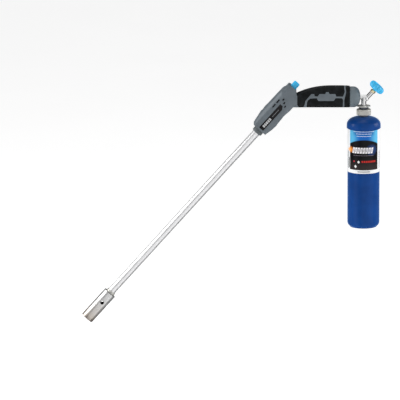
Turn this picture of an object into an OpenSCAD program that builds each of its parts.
// Propane torch with a long lance, a piezo igniter and a screw-on gas cylinder.
// The origin is the middle of the hand grip. +X runs back to the gas cylinder,
// +Z is up, and the lance points down and forward, towards -X and -Z.

/* [Lance and burner] */
// Angle of the lance below the horizontal, in degrees
lance_angle = 48.2; // [46:0.1:50]
// Length of the lance from the housing to the burner
lance_len = 495; // [420:5:560]
// Outside diameter of the lance tube
lance_d = 17; // [16:0.5:18]
// Outside diameter of the burner bell
bell_d = 29; // [28:0.5:32]
// Length of the burner bell
bell_len = 76; // [70:1:90]
// Diameter of the air holes in the bell
air_hole_d = 8.4; // [6:0.2:9]

/* [Housing] */
// Width of the housing and the grip across the two shells
shell_w = 38; // [37:0.5:42]
// Wall thickness of the shells
shell_wall = 2.4; // [2:0.1:3]
// Thickness of the rubber on the grip
rubber_t = 1.8; // [1.2:0.1:2.2]
// Diameter of the igniter button
button_d = 14.6; // [13:0.2:15]
// Travel of the igniter button
button_travel = 6; // [4:0.5:7]

/* [Valve] */
// Diameter of the valve knob
knob_d = 36; // [30:1:40]
// Thickness of the valve knob
knob_t = 14; // [9:0.5:14]
// Number of finger scallops round the knob
knob_lobes = 12; // [8:1:14]
// Diameter of the knurled swivel nut
nut_d = 32; // [31:0.5:34]

/* [Gas cylinder] */
// Outside diameter of the cylinder body
tank_d = 70.6; // [70:0.2:76]
// Height of the cylinder from its base to the top of its dome
tank_h = 247; // [240:1:260]
// Wall thickness of the cylinder
tank_wall = 1.2; // [1:0.1:2]

/* [Hidden] */
$fn = 64;

fit = 0.02;    // gap between fixed pieces that fit into each other
run = 0.3;     // gap between pieces that move past each other
thin = 0.01;

// the housing's nose, where the lance enters it
nose_x = -143.5;
nose_z = -71.5;
lance_r = lance_d / 2;
lance_wall = 0.9;
lance_top = 46;
union_z = 47;
union_len = 12;
nose_len = 12;
rib_z = 38;
rib_t = 4;
clip_t = 1.2;
gas_r = 2.5;
collar_len = 11;
collar_r = 11.7;

// the bell, from its back edge to its mouth
bell_back = -lance_len;
bell_mouth = bell_back - bell_len;
bell_r = bell_d / 2;
bell_wall = 1;
air_hole_z = bell_back - 26;
plate_t = 2.2;
bush_len = 6;
bush_r = 10.4;
jet_z = bell_back - 6;
lead_x = -5.5;
lead_r = 1.3;

// the igniter, in line with the lance
button_x = -7.5;
button_top = 131.5;
guide_z = 112.3;
housing_top = 118.3;
button_r = button_d / 2;
button_lip_r = button_r + 1.3;
piezo_r = 6.9;
piezo_neck_r = 6.2;
piezo_z0 = 60;
piezo_z1 = 98;
plunger_r = 3.5;
spring_r = 4.9;
spring_wire = 0.45;

// the grip
grip_x0 = -62.7;
cap_x0 = 53.7;
cap_x1 = 76.8;
cap_round_x = 62;
grip_floor = -22.8;
grip_arc_r = 200;
grip_arc_x = 24;
grip_top = 25.4;
half_w = shell_w / 2;
pipe_z = -0.9;
handle_pipe_x = 9;     // sideways place of the handle pipe in the lance's own frame
handle_pipe_r = 2.5;
pipe_bend_r = 25;

// the valve and the cylinder, on one upright axis
tank_x = 84.5;
branch_z = -9.2;
branch_angle = 47;
branch_len = 27;
knob_at = 34.7;
flange_z = -19.2;
flange_t = 2;
flange_r = 15.2;
lock_h = 5.8;
nut_top = -27.2;
nut_bottom = -39.8;
stem_r = 5.5;
neck_r = 12.7;
neck_bore = 6.6;
dome_top = -43;
skirt_bottom = -69;
skirt_t = 2.1;
tank_r = tank_d / 2;
skirt_r = tank_r + skirt_t;
tank_bottom = dome_top - tank_h;
foot_r = 28;
relief_y = 17;
label_t = 0.25;
label_z0 = -165.5;
label_z1 = -70;

// ---- frames ----

// the lance's own frame: +Z runs up the lance and +X to its underside
module along_lance() {
    translate([nose_x, 0, nose_z])
        rotate([0, 90 - lance_angle, 0])
            children();
}

// the valve branch's own frame: +Z runs out to the knob
module along_branch() {
    translate([tank_x, 0, branch_z])
        rotate([0, 90 - branch_angle, 0])
            children();
}

module on_tank(z) {
    translate([tank_x, 0, z]) children();
}

// a bar along X, from a to b
module bar_x(a, b, r) {
    translate([a, 0, 0]) rotate([0, 90, 0]) cylinder(r = r, h = b - a);
}

// a flat outline in X and Z, made y0 to y1 thick
module upright(y0, y1) {
    translate([0, y1, 0]) rotate([90, 0, 0]) linear_extrude(y1 - y0) children();
}

// a point of the lance's frame in X and Z
function out_of_lance(x, z) = [
    nose_x + x * sin(lance_angle) + z * cos(lance_angle),
    nose_z - x * cos(lance_angle) + z * sin(lance_angle)
];

function arc(cx, cz, r, a0, a1, n) = [
    for (i = [0:n]) let (a = a0 + (a1 - a0) * i / n) [cx + r * cos(a), cz + r * sin(a)]
];

// top line of the grip, lowered by d, from x0 to x1
function grip_line(x0, x1, d, n) = [
    for (i = [0:n]) let (x = x0 + (x1 - x0) * i / n, s = x - grip_arc_x)
        [x, grip_top - d - grip_arc_r + sqrt(grip_arc_r * grip_arc_r - s * s)]
];

// ---- swept round wire, for the lead and the spring ----

function unit(v) = v / norm(v);
function along(p, i) = unit(p[min(i + 1, len(p) - 1)] - p[max(i - 1, 0)]);
function ring(p, i, r, n, side) =
    let (t = along(p, i), u = unit(cross(t, side)), w = cross(t, u))
    [for (k = [0:n - 1]) p[i] + r * (cos(360 * k / n) * u + sin(360 * k / n) * w)];

// side is a direction that the wire never runs along
module swept(p, r, n, side) {
    m = len(p);
    sides = [
        for (i = [0:m - 2], k = [0:n - 1], half = [0, 1])
            half == 0
                ? [i * n + k, (i + 1) * n + k, (i + 1) * n + (k + 1) % n]
                : [i * n + k, (i + 1) * n + (k + 1) % n, i * n + (k + 1) % n]
    ];
    first = [for (k = [0:n - 1]) k];
    last = [for (k = [0:n - 1]) (m - 1) * n + n - 1 - k];
    polyhedron(
        points = [for (i = [0:m - 1]) each ring(p, i, r, n, side)],
        faces = concat(sides, [first, last]),
        convexity = 6
    );
}

// ---- housing ----

// stadium section, upright, w wide and h high
module stadium(w, h) {
    translate([0, (h - w) / 2]) circle(d = w);
    translate([0, -(h - w) / 2]) circle(d = w);
    square([w, h - w], center = true);
}

// rectangle with round corners
module round_rect(w, h, r) {
    for (x = [-1, 1], y = [-1, 1])
        translate([x * (w / 2 - r), y * (h / 2 - r)]) circle(r = r);
    square([w - 2 * r, h], center = true);
    square([w, h - 2 * r], center = true);
}

// side outline of the two shells without the grip's rubber
module side_outline() {
    over = [[-18, 0], [-19.8, 9], [-21.3, 18], [-24.1, 31], [-22.8, 34.5], [-25.3, 47],
            [-23.5, 51], [-23.1, 86], [-22.1, 103], [-19.4, 108], [-19.2, 117],
            [-15, housing_top], [1.4, housing_top], [3.4, 115.5]];
    under = [[19.2, 50], [20.2, 34.5], [21.3, 31], [19.6, 18], [17.5, 9], [15.5, 0]];
    under_arc_r = 58.5;
    polygon(concat(
        [for (p = over) out_of_lance(p[0], p[1])],
        grip_line(grip_x0, cap_x0, 0, 14),
        [[cap_x0, grip_floor]],
        arc(-49, grip_floor - under_arc_r, under_arc_r, 90, 90 + lance_angle - 1, 10),
        [for (p = under) out_of_lance(p[0], p[1])]
    ));
}

// the space that the two sections fill, shrunk by d all round
module section_space(d) {
    along_lance()
        translate([-1.5, 0, -1])
            linear_extrude(134)
                round_rect(46 - 2 * d, shell_w - 2 * d, 12 - d);
    intersection() {
        translate([grip_x0 - 34, 0, 1])
            rotate([90, 0, 90])
                linear_extrude(cap_x0 - grip_x0 + 34)
                    stadium(shell_w - 2 * d, 49 - 2 * d);
        upright(-half_w, half_w)
            polygon(concat([[-96, -60]], [[-96, 30]], [[60, 30]], [[60, -60]]));
    }
}

module outer_form() {
    intersection() {
        upright(-half_w, half_w) side_outline();
        section_space(0);
    }
}

// the upright hollow of the two shells along the lance, shrunk by d
module lance_hollow(d) {
    along_lance()
        translate([-1.4, 0, nose_len])
            linear_extrude(guide_z - nose_len)
                round_rect(33.6 - 2 * d, shell_w - 2 * shell_wall - 2 * d, 9 - d);
}

// the hollow of the two shells
module inner_form() {
    d = shell_wall;
    lance_hollow(0);
    intersection() {
        translate([-88, 0, 0])
            rotate([90, 0, 90])
                linear_extrude(cap_x0 - 4 + 88)
                    stadium(shell_w - 2 * (d + rubber_t), 44 - 2 * d);
        upright(-half_w, half_w)
            polygon(concat(
                [[-90, grip_floor + rubber_t + d], [-90, -10], [-70, 4]],
                grip_line(grip_x0 + 4, cap_x0, rubber_t + d, 10),
                [[cap_x0, grip_floor + rubber_t + d]]
            ));
    }
}

// what lies under the grip's rubber
module grip_core() {
    intersection() {
        upright(-half_w - 1, half_w + 1)
            polygon(concat(
                grip_line(grip_x0 - 1, cap_x0 + 1, rubber_t, 14),
                [[cap_x0 + 1, grip_floor + rubber_t], [grip_x0 - 1, grip_floor + rubber_t]]
            ));
        translate([grip_x0 - 1, 0, 1])
            rotate([90, 0, 90])
                linear_extrude(cap_x0 - grip_x0 + 2)
                    stadium(shell_w - 2 * rubber_t, 49 - 2 * rubber_t);
    }
}

// the stretch of the grip that rubber covers
module rubber_stretch() {
    upright(-half_w - 3, half_w + 3)
        polygon([[grip_x0 + 1, 40], [cap_x0 - 0.1, 40], [cap_x0 - 0.1, -40], [-58, -40],
                 [-58, grip_floor], [grip_x0 + 1, -15]]);
}

// side outline of the grey rib that divides the rubber
module rib_outline() {
    polygon([[-48, -24], [-40.5, -24], [-41, -17], [-40.2, -9], [-38.2, -4], [-33.5, -0.4],
             [-19, 0.6], [-15.5, -5.6], [18.5, -5.6], [22.5, 0.6], [36.6, 0.6], [38.6, -3],
             [38.2, -24], [41.6, -24], [41.4, -4], [45.6, 14], [43.4, 30], [40.2, 30],
             [42.4, 14], [38.4, 4.2], [23.8, 4.2], [21.8, 9.8], [8.8, 9.8], [7.2, 13.8],
             [1.4, 13.8], [-0.2, 9.8], [-13, 9.8], [-17, 4.2], [-23.6, 5.2], [-24.6, 9.8],
             [-31, 9.8], [-44, -6], [-45.6, -15]]);
}

// the region above the rib, and in front of it
module above_rib_outline() {
    polygon([[-64, -24], [-48.15, -24], [-45.75, -15], [-44.15, -5.95], [-31.1, 9.95],
             [-24.5, 9.95], [-23.5, 5.35], [-17, 4.35], [-13.1, 9.95], [-0.3, 9.95],
             [1.3, 13.95], [7.3, 13.95], [8.9, 9.95], [21.9, 9.95], [23.9, 4.35],
             [38.3, 4.35], [42.25, 14], [40.05, 30], [-64, 30]]);
}

// the region below the rib
module below_rib_outline() {
    polygon([[-40.35, -24], [-40.85, -17], [-40.05, -9.05], [-38.1, -4.15], [-33.45, -0.55],
             [-18.9, 0.45], [-15.4, -5.75], [18.6, -5.75], [22.6, 0.45], [36.5, 0.45],
             [38.45, -3.05], [38.05, -24]]);
}

// places of the shell screws, in X and Z
screw_places = [out_of_lance(12.9, 8), out_of_lance(-19, 51.5), out_of_lance(15.2, 69),
                [-44, -14.5], [-30, 11.5], [38, -14.5], [36, 16]];

module at_screws() {
    for (p = screw_places) translate([p[0], 0, p[1]]) children();
}

// a round bar across the housing, from y0 to y1
module cross_bar(y0, y1, r) {
    translate([0, y1, 0]) rotate([90, 0, 0]) cylinder(r = r, h = y1 - y0, $fn = 32);
}

// cooling slots through both sides, in the lance's frame
module slot(x, z, len) {
    for (side = [-1, 1])
        translate([x, side * 21, z])
            rotate([90, 0, 0]) linear_extrude(18, center = true) round_rect(3.2, len, 1.2);
}

module vents() {
    along_lance() {
        for (z = [61.5, 75]) slot(-13.8, z, 10);
        for (i = [0:2]) slot(-7.5 + i * 6.6, 85.6 - i * 4.65, 5.4);
    }
}

module both_shells() {
    difference() {
        union() {
            difference() {
                outer_form();
                inner_form();
            }
            intersection() {
                outer_form();
                union() {
                    along_lance() {
                        translate([-22, -half_w, rib_z]) cube([40, shell_w, rib_t]);
                        translate([-19.5, -10.5, piezo_z0 + 30]) cube([21.5, 21, 3]);
                        translate([-19.5, -10.5, piezo_z0 - 3]) cube([15.2, 21, 3]);
                    }
                    at_screws() cross_bar(-half_w + 2, half_w - 2, 3.4);
                }
            }
        }
        rubber_seat();
        // seat of the lance and its clip
        along_lance() {
            translate([0, 0, -2]) cylinder(r = lance_r + fit, h = 70);
            translate([0, 0, rib_z + rib_t]) cylinder(r = 12.4, h = 3);
            // guide of the button, and seat of the piezo unit
            translate([button_x, 0, guide_z - 1]) cylinder(r = button_r + run, h = 20);
            translate([button_x, 0, guide_z - 12]) cylinder(r = button_lip_r + run, h = 12);
            translate([button_x, 0, piezo_z0]) cylinder(r = piezo_r + fit, h = 30);
            translate([button_x, 0, piezo_z0 + 29]) cylinder(r = piezo_neck_r + fit, h = 10);
            translate([button_x, 0, piezo_z0 - 6]) cylinder(r = 3.6, h = 8);
            translate([handle_pipe_x, 0, 60]) cylinder(r = handle_pipe_r + run, h = 60);
        }
        // recess for the end cap's spigot
        translate([cap_x0 - 8, 0, 0])
            rotate([90, 0, 90]) linear_extrude(9) stadium(31, 39);
        vents();
        plate_seat(-1);
        plate_seat(1);
    }
}

// the band under the rubber, less the grey rib, which stays proud on each side
module rubber_seat() {
    difference() {
        rubber_stretch();
        grip_core();
        upright(-half_w - 4, half_w + 4) rib_outline();
    }
}

// outline of the side plate, in the lance's frame
module plate_outline(d) {
    polygon([[-5.8 - d, 4 - d], [5.8 + d, 4 - d], [5.8 + d, 66], [1 + d, 73.5 + d],
             [-5.8 - d, 73.5 + d]]);
}

module plate_solid(side, d, t) {
    along_lance()
        translate([0, side > 0 ? half_w + 1 : -half_w - 1 + t, 0])
            rotate([90, 0, 0]) linear_extrude(t) plate_outline(d);
}

module plate_seat(side) {
    plate_solid(side, 0.1, 2);
}

module left_plate() {
    color([0.13, 0.12, 0.13])
        intersection() {
            plate_solid(-1, 0, 2);
            outer_form();
        }
}

module right_plate() {
    color([0.13, 0.12, 0.13])
        intersection() {
            plate_solid(1, 0, 2);
            outer_form();
        }
}

// black lining behind the cooling slots, seen through them
module vent_lining(side) {
    color([0.05, 0.05, 0.05])
        intersection() {
            difference() {
                lance_hollow(0.05);
                lance_hollow(1.25);
            }
            along_lance()
                translate([-16.2, side > 0 ? 9 : -9 - 10, 55.8]) cube([25.6, 10, 35]);
        }
}

module left_vent_lining() { vent_lining(-1); }
module right_vent_lining() { vent_lining(1); }

module left_shell() {
    color([0.38, 0.43, 0.48])
        difference() {
            intersection() {
                both_shells();
                translate([-200, -half_w, -120]) cube([300, half_w - thin, 200]);
            }
            at_screws() cross_bar(-half_w + 4, 1, 1.2);
        }
}

module right_shell() {
    color([0.38, 0.43, 0.48])
        difference() {
            intersection() {
                both_shells();
                translate([-200, thin, -120]) cube([300, half_w, 200]);
            }
            at_screws() {
                cross_bar(-1, half_w + 1, 1.7);
                cross_bar(half_w - 10.65, half_w + 1, 3.1);
            }
        }
}

module shell_screws() {
    color("silver")
        at_screws()
            difference() {
                union() {
                    cross_bar(half_w - 10.6, half_w - 8.2, 2.9);
                    cross_bar(-9, half_w - 10.5, 1.18);
                }
                translate([0, half_w - 9.6, 0])
                    rotate([-90, 0, 0]) cylinder(r = 1.5, h = 4, $fn = 6);
            }
}

module pad(side, lower) {
    difference() {
        intersection() {
            outer_form();
            rubber_stretch();
            upright(side > 0 ? thin : -half_w - 1, side > 0 ? half_w + 1 : -thin)
                if (lower) below_rib_outline();
                else above_rib_outline();
        }
        grip_core();
        if (side > 0) at_screws() cross_bar(0, half_w + 1, 3.4);
    }
}

module left_upper_pad() { color([0.13, 0.14, 0.15]) pad(-1, false); }
module right_upper_pad() { color([0.13, 0.14, 0.15]) pad(1, false); }
module left_lower_pad() { color([0.13, 0.14, 0.15]) pad(-1, true); }
module right_lower_pad() { color([0.13, 0.14, 0.15]) pad(1, true); }

module rear_band() {
    color([0.13, 0.14, 0.15])
        difference() {
            intersection() {
                outer_form();
                upright(-half_w - 1, half_w + 1)
                    polygon([[41.75, -24], [41.55, -4.05], [45.75, 14], [43.55, 30],
                             [cap_x0 - 0.1, 30], [cap_x0 - 0.1, -24]]);
            }
            grip_core();
            at_screws() cross_bar(0, half_w + 1, 3.4);
        }
}

// outline of the end cap's round end, half as wide as w
module cap_outline(w) {
    polygon(concat([[cap_x0 - 20, -w], [cap_x0 - 20, w]], [
        for (i = [0:14]) let (a = 90 - i * 180 / 14)
            [cap_round_x + (cap_x1 - cap_round_x) * cos(a), w * sin(a)]
    ]));
}

module end_cap() {
    color([0.44, 0.48, 0.51])
        difference() {
            union() {
                intersection() {
                    translate([cap_x0, 0, 0])
                        rotate([90, 0, 90]) linear_extrude(cap_x1 - cap_x0) stadium(shell_w, 46);
                    upright(-half_w - 1, half_w + 1) cap_outline(23);
                    translate([0, 0, -24]) linear_extrude(48) cap_outline(half_w);
                }
                translate([cap_x0 - 7, 0, 0])
                    rotate([90, 0, 90]) linear_extrude(7.5) stadium(30.8, 38.8);
            }
            translate([cap_x0 - 8, 0, 0])
                rotate([90, 0, 90]) linear_extrude(cap_round_x + 3 - cap_x0 + 8) stadium(26, 34);
            translate([0, 0, pipe_z]) bar_x(cap_x0, cap_x1 + 2, 4.75 + fit);
        }
}

// ---- lance and burner ----

module nose_collar() {
    color([0.36, 0.39, 0.40])
        along_lance()
            translate([0, 0, -collar_len])
                difference() {
                    union() {
                        cylinder(r1 = collar_r - 1, r2 = collar_r, h = 1.2);
                        translate([0, 0, 1.2 - thin]) cylinder(r = collar_r, h = collar_len - 1.2);
                    }
                    translate([0, 0, -1]) cylinder(r = lance_r + fit, h = collar_len + 2);
                }
}

module lance_clip() {
    color("silver")
        along_lance()
            translate([0, 0, rib_z + rib_t + 0.1])
                difference() {
                    cylinder(r = 11.6, h = clip_t);
                    translate([0, 0, -1]) cylinder(r = lance_r - 0.35, h = clip_t + 2);
                    translate([0, -3, -1]) cube([20, 6, clip_t + 2]);
                }
}

module lance_tube() {
    color([0.83, 0.83, 0.83])
        along_lance()
            difference() {
                translate([0, 0, bell_back - 5]) cylinder(r = lance_r, h = lance_top - bell_back + 5);
                translate([0, 0, bell_back - 6])
                    cylinder(r = lance_r - lance_wall, h = lance_top - bell_back + 7);
                // groove for the clip
                translate([0, 0, rib_z + rib_t + 0.05])
                    difference() {
                        cylinder(r = 12, h = clip_t + 0.1);
                        translate([0, 0, -1]) cylinder(r = lance_r - 0.37, h = clip_t + 2);
                    }
            }
}

module lance_gas_pipe() {
    color([0.80, 0.62, 0.38])
        along_lance()
            difference() {
                translate([0, 0, jet_z - 4]) cylinder(r = gas_r, h = union_z + 2.9 - jet_z + 4);
                translate([0, 0, jet_z - 5]) cylinder(r = gas_r - 0.8, h = union_z + 4 - jet_z + 6);
            }
}

// brass block that shifts the gas way from the lance's axis to the handle's pipe
module gas_union() {
    color([0.78, 0.66, 0.38])
        along_lance()
            difference() {
                translate([-4, -5, union_z]) cube([18, 10, union_len]);
                translate([0, 0, union_z - 1]) cylinder(r = gas_r + fit, h = 4);
                translate([0, 0, union_z + 2.9]) cylinder(r = 1.6, h = 4.1);
                translate([0, 0, union_z + 6]) rotate([0, 90, 0]) cylinder(r = 1.6, h = handle_pipe_x);
                translate([handle_pipe_x, 0, union_z + 5]) cylinder(r = 1.6, h = 5);
                translate([handle_pipe_x, 0, union_z + 9])
                    cylinder(r = handle_pipe_r + fit, h = union_len);
            }
}

// where the handle pipe's two straight lines meet
corner_s = (pipe_z - nose_z + handle_pipe_x * cos(lance_angle)) / sin(lance_angle);
bend_cut = pipe_bend_r * tan(lance_angle / 2);
corner = out_of_lance(handle_pipe_x, corner_s);

pipe_start = out_of_lance(handle_pipe_x, union_z + 9.1);
pipe_route = concat(
    [[pipe_start[0], 0, pipe_start[1]]],
    [for (p = arc(corner[0] + bend_cut, pipe_z - pipe_bend_r, pipe_bend_r,
                  90 + lance_angle, 90, 10)) [p[0], 0, p[1]]],
    [[61, 0, pipe_z]]
);

module handle_gas_pipe() {
    color([0.80, 0.55, 0.38]) swept(pipe_route, handle_pipe_r, 16, [0, 1, 0]);
}

module pipe_nut() {
    color([0.78, 0.66, 0.38])
        translate([56, 0, pipe_z])
            rotate([0, 90, 0])
                difference() {
                    cylinder(r = 7.4, h = 9, $fn = 6);
                    translate([0, 0, -1]) cylinder(r = handle_pipe_r + fit, h = 7);
                    translate([0, 0, 5.1]) cylinder(r = 4.75 + fit, h = 5);
                }
}

module lance_spacer() {
    color([0.85, 0.83, 0.78])
        along_lance()
            translate([0, 0, bell_back - 2])
                difference() {
                    cylinder(r = lance_r - lance_wall - fit, h = 8);
                    translate([0, 0, -1]) cylinder(r = gas_r + fit, h = 10);
                    translate([lead_x, 0, -1]) cylinder(r = 2.02, h = 10);
                }
}

module burner_bush() {
    color([0.70, 0.70, 0.70])
        along_lance()
            difference() {
                translate([0, 0, bell_back]) cylinder(r = bush_r, h = bush_len);
                translate([0, 0, bell_back - 1]) cylinder(r = lance_r + fit, h = bush_len + 2);
                for (a = [90, -90])
                    translate([0, 0, bell_back + bush_len / 2])
                        rotate([0, 90, a]) cylinder(r = 1.25, h = 20);
            }
}

module bush_screws() {
    color([0.25, 0.25, 0.25])
        along_lance()
            for (a = [90, -90])
                translate([0, 0, bell_back + bush_len / 2])
                    rotate([0, 90, a])
                        translate([0, 0, lance_r + 0.05])
                            difference() {
                                cylinder(r = 1.22, h = 2.2);
                                translate([0, 0, 1]) cylinder(r = 0.6, h = 2, $fn = 6);
                            }
}

module bell_back_plate() {
    color([0.72, 0.71, 0.70])
        along_lance()
            translate([0, 0, bell_back - plate_t])
                difference() {
                    cylinder(r = bell_r - bell_wall - fit, h = plate_t);
                    translate([0, 0, -1]) cylinder(r = lance_r + fit, h = plate_t + 2);
                    for (a = [0:45:315])
                        rotate([0, 0, a + 22.5])
                            translate([11.1, 0, -1]) cylinder(r = 1.4, h = plate_t + 2, $fn = 24);
                }
}

module burner_bell() {
    color([0.76, 0.75, 0.75])
        along_lance()
            difference() {
                translate([0, 0, bell_mouth]) cylinder(r = bell_r, h = bell_len);
                translate([0, 0, bell_mouth - 1]) cylinder(r = bell_r - bell_wall, h = bell_len + 2);
                for (a = [0, 90])
                    translate([0, 0, air_hole_z])
                        rotate([0, 90, a]) cylinder(d = air_hole_d, h = 60, center = true);
            }
}

module gas_jet() {
    color([0.78, 0.66, 0.38])
        along_lance()
            difference() {
                union() {
                    translate([0, 0, jet_z - 7]) rotate([0, 0, 30]) cylinder(r = 3.9, h = 7, $fn = 6);
                    translate([0, 0, jet_z - 12]) cylinder(r1 = 1.8, r2 = 3.2, h = 5 + thin);
                }
                translate([0, 0, jet_z - 4]) cylinder(r = gas_r + fit, h = 5);
                translate([0, 0, jet_z - 6.5]) cylinder(r = 1.9, h = 3);
                translate([0, 0, jet_z - 13]) cylinder(r = 0.35, h = 8, $fn = 24);
            }
}

module jet_filter() {
    color([0.55, 0.45, 0.3])
        along_lance()
            translate([0, 0, jet_z - 6.3]) cylinder(r = 1.85, h = 2.2);
}

module electrode_insulator() {
    color([0.95, 0.94, 0.90])
        along_lance()
            translate([lead_x, 0, bell_back - 22])
                difference() {
                    union() {
                        cylinder(r1 = 1.4, r2 = 2, h = 2);
                        translate([0, 0, 2 - thin]) cylinder(r = 2, h = 26);
                    }
                    translate([0, 0, -1]) cylinder(r = 0.8 + fit, h = 26);
                    translate([0, 0, 24]) cylinder(r = lead_r + fit, h = 6);
                }
}

module spark_electrode() {
    color([0.6, 0.58, 0.55])
        along_lance()
            translate([lead_x, 0, 0]) {
                translate([0, 0, bell_back - 26]) cylinder(r = 0.8, h = 27, $fn = 24);
                translate([-0.3, 0, bell_back - 25.2])
                    rotate([0, 100, 0]) cylinder(r = 0.7, h = 3.6, $fn = 24);
            }
}

// route of the lead in the lance's frame, from the electrode to the piezo unit
lead_route = [[-5.5, 0, -489], [-5.5, 0, -400], [-5.5, 0, -300], [-5.5, 0, -200],
              [-5.5, 0, -100], [-5.5, 0, 0], [-5.5, 0, 30], [-5.6, 0, 40], [-5.8, 0, 45],
              [-6.4, 0, 50], [-7.1, 0, 54], [-7.5, 0, 58]];

module ignition_lead() {
    color([0.7, 0.1, 0.1]) along_lance() swept(lead_route, lead_r, 8, [0, 1, 0]);
}

module lead_boot() {
    color([0.1, 0.1, 0.1])
        along_lance()
            translate([button_x, 0, 54])
                difference() {
                    cylinder(r1 = 2.6, r2 = 3.4, h = 5.9);
                    translate([0.2, 0, -1]) cylinder(r = lead_r + 0.5, h = 5.1);
                }
}

// ---- igniter ----

module piezo_body() {
    color([0.93, 0.91, 0.86])
        along_lance()
            translate([button_x, 0, piezo_z0])
                difference() {
                    union() {
                        cylinder(r = piezo_r, h = 30);
                        translate([0, 0, 30 - thin]) cylinder(r = piezo_neck_r, h = 8);
                    }
                    translate([0, 0, 20]) cylinder(r = plunger_r + run, h = 20);
                }
}

module button_spring() {
    turns = 7;
    steps = 12;
    z0 = piezo_z1 + 0.6;
    z1 = button_top - 6;
    color("silver")
        along_lance()
            translate([button_x, 0, 0])
                swept([for (i = [0:turns * steps]) [
                    spring_r * cos(360 * i / steps), spring_r * sin(360 * i / steps),
                    z0 + (z1 - z0) * i / (turns * steps)]], spring_wire, 5, [0, 0, 1]);
}

module igniter_button() {
    shut = 5;
    long = button_top - guide_z;
    color([0.30, 0.69, 0.86])
        along_lance()
            translate([button_x, 0, guide_z - 0.3])
                difference() {
                    union() {
                        translate([0, 0, -2]) cylinder(r = button_lip_r, h = 2 + thin);
                        cylinder(r = button_r, h = long - 1.7);
                        translate([0, 0, long - 1.7 - thin])
                            cylinder(r1 = button_r, r2 = button_r - 2, h = 2);
                    }
                    translate([0, 0, -3]) cylinder(r = button_r - 1.5, h = long + 3 - shut);
                }
}

module piezo_plunger() {
    color([0.2, 0.2, 0.2])
        along_lance()
            translate([button_x, 0, piezo_z1 - 8])
                cylinder(r = plunger_r, h = button_top - 5.3 - piezo_z1 + 8);
}

// ---- valve ----

module valve_body() {
    color([0.80, 0.80, 0.80])
        difference() {
            union() {
                translate([0, 0, pipe_z]) bar_x(61.2, tank_x + 5.8, 4.75);
                on_tank(flange_z) cylinder(r = stem_r, h = pipe_z - flange_z);
                on_tank(branch_z) sphere(r = 5.7);
                along_branch() cylinder(r = 4.8, h = branch_len);
                along_branch() translate([0, 0, 6]) cylinder(r = 5.6, h = 3);
            }
            translate([0, 0, pipe_z]) bar_x(60, tank_x, 1.8);
            on_tank(flange_z - 1) cylinder(r = 3.2, h = 8);
            on_tank(flange_z + 6) cylinder(r = 1.8, h = pipe_z - flange_z - 6);
            along_branch() {
                translate([0, 0, 4]) cylinder(r = 2.2, h = 8);
                translate([0, 0, 11]) cylinder(r = 3.1, h = branch_len);
            }
        }
}

module valve_seat() {
    color([0.9, 0.88, 0.8])
        along_branch()
            translate([0, 0, 4.1])
                difference() {
                    cylinder(r = 2.15, h = 4);
                    translate([0, 0, -1]) cylinder(r = 0.8, h = 6);
                }
}

module packing_nut() {
    color([0.80, 0.68, 0.40])
        along_branch()
            translate([0, 0, branch_len + 0.05])
                difference() {
                    union() {
                        cylinder(r = 6, h = 5, $fn = 6);
                        translate([0, 0, 5 - thin]) cylinder(r1 = 4.6, r2 = 4, h = 1.6);
                    }
                    translate([0, 0, -1]) cylinder(r = 2.55, h = 10);
                }
}

module stem_seal() {
    color([0.1, 0.1, 0.1])
        along_branch()
            translate([0, 0, branch_len - 3])
                rotate_extrude() translate([2.81, 0]) circle(r = 0.24, $fn = 24);
}

module inlet_flange() {
    color([0.75, 0.75, 0.74])
        on_tank(flange_z - flange_t)
            difference() {
                union() {
                    cylinder(r = flange_r, h = flange_t - 0.6);
                    translate([0, 0, flange_t - 0.6 - thin])
                        cylinder(r1 = flange_r, r2 = flange_r - 1.2, h = 0.6 + thin);
                }
                translate([0, 0, -1]) cylinder(r = stem_r - 0.5 + fit, h = flange_t + 2);
            }
}

module lock_nut() {
    color([0.75, 0.75, 0.74])
        on_tank(flange_z - flange_t - lock_h)
            difference() {
                intersection() {
                    cylinder(r = 10.6, h = lock_h - 0.1, $fn = 6);
                    cylinder(r1 = 9.6, r2 = 12.9, h = lock_h);
                }
                translate([0, 0, -1]) cylinder(r = stem_r + fit, h = lock_h + 2);
            }
}

// tailpiece: it hangs in the swivel nut and its nose enters the cylinder's neck
module inlet_stem() {
    collar_z = nut_top - 3.2;
    color([0.80, 0.68, 0.40])
        on_tank(0)
            difference() {
                union() {
                    translate([0, 0, collar_z]) cylinder(r = stem_r, h = flange_z - flange_t - collar_z);
                    translate([0, 0, flange_z - flange_t - thin]) cylinder(r = stem_r - 0.5, h = flange_t);
                    translate([0, 0, flange_z - 0.5]) cylinder(r = 3.18, h = 5.4);
                    translate([0, 0, collar_z - 2.6]) cylinder(r = 11.6, h = 2.6 + thin);
                    translate([0, 0, -44]) cylinder(r = 5.8, h = 44 + collar_z - 2);
                }
                translate([0, 0, -45]) cylinder(r = 2.4, h = 20);
                translate([0, 0, -45]) cylinder(r = 1.6, h = 40);
                // groove of the seal ring
                translate([0, 0, -40.2])
                    difference() {
                        cylinder(r = 8, h = 2);
                        translate([0, 0, -1]) cylinder(r = 4.9, h = 4);
                    }
            }
}

module inlet_seal() {
    color([0.1, 0.1, 0.1])
        on_tank(-39.2) rotate_extrude() translate([5.6, 0]) circle(r = 0.68, $fn = 24);
}

module depressor_pin() {
    color([0.7, 0.7, 0.7])
        on_tank(-45.5) {
            cylinder(r = 1.1, h = 18);
            translate([0, 0, 5]) intersection() {
                cylinder(r = 2.38, h = 3);
                union() for (a = [0, 60, 120])
                    rotate([0, 0, a]) translate([-3, -0.5, 0]) cube([6, 1, 3]);
            }
        }
}

module valve_stem() {
    color([0.80, 0.68, 0.40])
        along_branch() {
            translate([0, 0, 8.2]) cylinder(r1 = 0.6, r2 = 2.0, h = 3.4);
            translate([0, 0, 11.6 - thin]) cylinder(r = 2.5, h = knob_at + knob_t - 5 - 11.6);
        }
}

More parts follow.
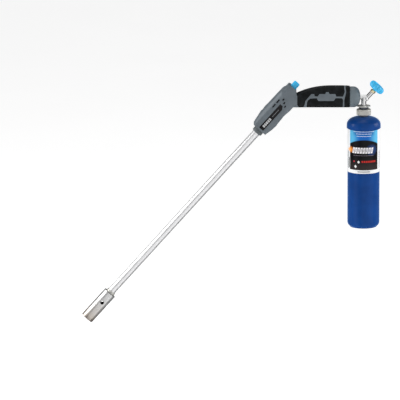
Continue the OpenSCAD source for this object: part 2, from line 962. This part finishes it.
module valve_knob() {
    color([0.28, 0.68, 0.90])
        along_branch()
            translate([0, 0, knob_at])
                difference() {
                    union() {
                        cylinder(r1 = knob_d / 2 - 3.6, r2 = knob_d / 2, h = 4);
                        translate([0, 0, 4 - thin]) cylinder(r = knob_d / 2, h = knob_t - 8);
                        translate([0, 0, knob_t - 4 - 2 * thin])
                            cylinder(r1 = knob_d / 2, r2 = knob_d / 2 - 3.6, h = 4);
                    }
                    for (i = [0:knob_lobes - 1])
                        rotate([0, 0, i * 360 / knob_lobes])
                            translate([knob_d / 2 + 1.7, 0, -1])
                                cylinder(r = 3.2, h = knob_t + 2, $fn = 32);
                    translate([0, 0, -3]) cylinder(r = 2.5 + fit, h = knob_t);
                    translate([0, 0, knob_t - 4]) cylinder(r = 4.2, h = 6);
                }
}

module knob_screw() {
    color("silver")
        along_branch()
            translate([0, 0, knob_at + knob_t - 3.95])
                difference() {
                    cylinder(r = 3.6, h = 2.2);
                    translate([0, 0, 1]) cylinder(r = 1.6, h = 3, $fn = 6);
                }
}

module swivel_nut() {
    h = nut_top - nut_bottom;
    color([0.74, 0.74, 0.71])
        on_tank(nut_bottom)
            difference() {
                union() {
                    cylinder(r1 = nut_d / 2 - 1, r2 = nut_d / 2, h = 1.2);
                    translate([0, 0, 1.2 - thin]) cylinder(r = nut_d / 2, h = h - 2.4);
                    translate([0, 0, h - 1.2 - 2 * thin])
                        cylinder(r1 = nut_d / 2, r2 = nut_d / 2 - 1, h = 1.2);
                }
                translate([0, 0, -1]) cylinder(r = neck_r + 0.06, h = h + 1 - 2.9);
                translate([0, 0, -1]) cylinder(r = stem_r + run, h = h + 2);
            }
}

// ---- gas cylinder ----

module cylinder_neck() {
    top = nut_top - 6.2;
    color([0.70, 0.66, 0.55])
        on_tank(0)
            difference() {
                union() {
                    translate([0, 0, nut_bottom + 0.2]) cylinder(r = neck_r, h = top - nut_bottom - 0.2);
                    translate([0, 0, -58]) cylinder(r = 9.8, h = 19);
                }
                translate([0, 0, -50]) cylinder(r = neck_bore, h = 30);
                translate([0, 0, -60]) cylinder(r = 3, h = 20);
            }
}

module cylinder_valve_core() {
    color([0.78, 0.66, 0.38])
        on_tank(0)
            difference() {
                union() {
                    translate([0, 0, -57.5]) cylinder(r = 2.96, h = 8);
                    translate([0, 0, -49.9]) cylinder(r = 4.6, h = 3);
                }
                translate([0, 0, -58.5]) cylinder(r = 1, h = 6);
            }
}

dome_rise = 20;

// profile of the domed top, d smaller all round
function dome_line(d) = [
    for (i = [0:16]) let (a = i * 90 / 16)
        [(skirt_r - d) * pow(cos(a), 0.82), skirt_bottom + 6 + (dome_rise - d) * pow(sin(a), 0.86)]
];

module cylinder_dome() {
    color([0.09, 0.24, 0.48])
        on_tank(0)
            difference() {
                rotate_extrude($fn = 96)
                    difference() {
                        polygon(concat([[0, skirt_bottom]], [[skirt_r, skirt_bottom]], dome_line(0)));
                        polygon(concat([[0, skirt_bottom - 1]], [[tank_r + fit, skirt_bottom - 1]],
                                       dome_line(skirt_t - fit)));
                    }
                translate([0, 0, -70]) cylinder(r = 9.8 + fit, h = 40);
                translate([0, relief_y, -70]) cylinder(r = 3.5 + fit, h = 40);
            }
}

module cylinder_body() {
    corner = 11;
    top = skirt_bottom + 6;
    color([0.09, 0.27, 0.52])
        on_tank(0)
            rotate_extrude($fn = 96)
                polygon(concat(
                    [[tank_r, top]],
                    arc(tank_r - corner, tank_bottom + corner, corner, 0, -64, 7),
                    [[foot_r + 1.6, tank_bottom], [foot_r - 0.6, tank_bottom],
                     [foot_r - 4, tank_bottom + 3.6], [12, tank_bottom + 6.6], [0, tank_bottom + 7]],
                    [[0, tank_bottom + 7 + tank_wall], [12, tank_bottom + 6.6 + tank_wall],
                     [foot_r - 3.4, tank_bottom + 3.6 + tank_wall], [foot_r, tank_bottom + tank_wall]],
                    arc(tank_r - corner, tank_bottom + corner, corner - tank_wall, -64, 0, 7),
                    [[tank_r - tank_wall, top]]
                ));
}

module relief_valve() {
    color([0.72, 0.72, 0.7])
        on_tank(0)
            translate([0, relief_y, 0]) {
                translate([0, 0, -56]) cylinder(r = 3.5, h = 8.4);
                translate([0, 0, -47.7]) cylinder(r1 = 3.5, r2 = 2.6, h = 1.6);
            }
}

module cylinder_label() {
    color([0.38, 0.74, 0.89])
        on_tank(label_z0)
            difference() {
                cylinder(r = tank_r + fit + label_t, h = label_z1 - label_z0, $fn = 96);
                translate([0, 0, -1]) cylinder(r = tank_r + fit, h = label_z1 - label_z0 + 2, $fn = 96);
            }
}

left_shell();
right_shell();
left_upper_pad();
right_upper_pad();
left_lower_pad();
right_lower_pad();
rear_band();
end_cap();
left_plate();
right_plate();
shell_screws();
left_vent_lining();
right_vent_lining();
nose_collar();
lance_clip();
lance_tube();
lance_gas_pipe();
gas_union();
handle_gas_pipe();
pipe_nut();
lance_spacer();
burner_bush();
bush_screws();
bell_back_plate();
burner_bell();
gas_jet();
jet_filter();
electrode_insulator();
spark_electrode();
ignition_lead();
lead_boot();
piezo_body();
button_spring();
igniter_button();
piezo_plunger();
valve_body();
valve_seat();
packing_nut();
stem_seal();
inlet_flange();
lock_nut();
inlet_stem();
inlet_seal();
depressor_pin();
valve_knob();
valve_stem();
knob_screw();
swivel_nut();
cylinder_body();
cylinder_dome();
cylinder_neck();
cylinder_valve_core();
relief_valve();
cylinder_label();
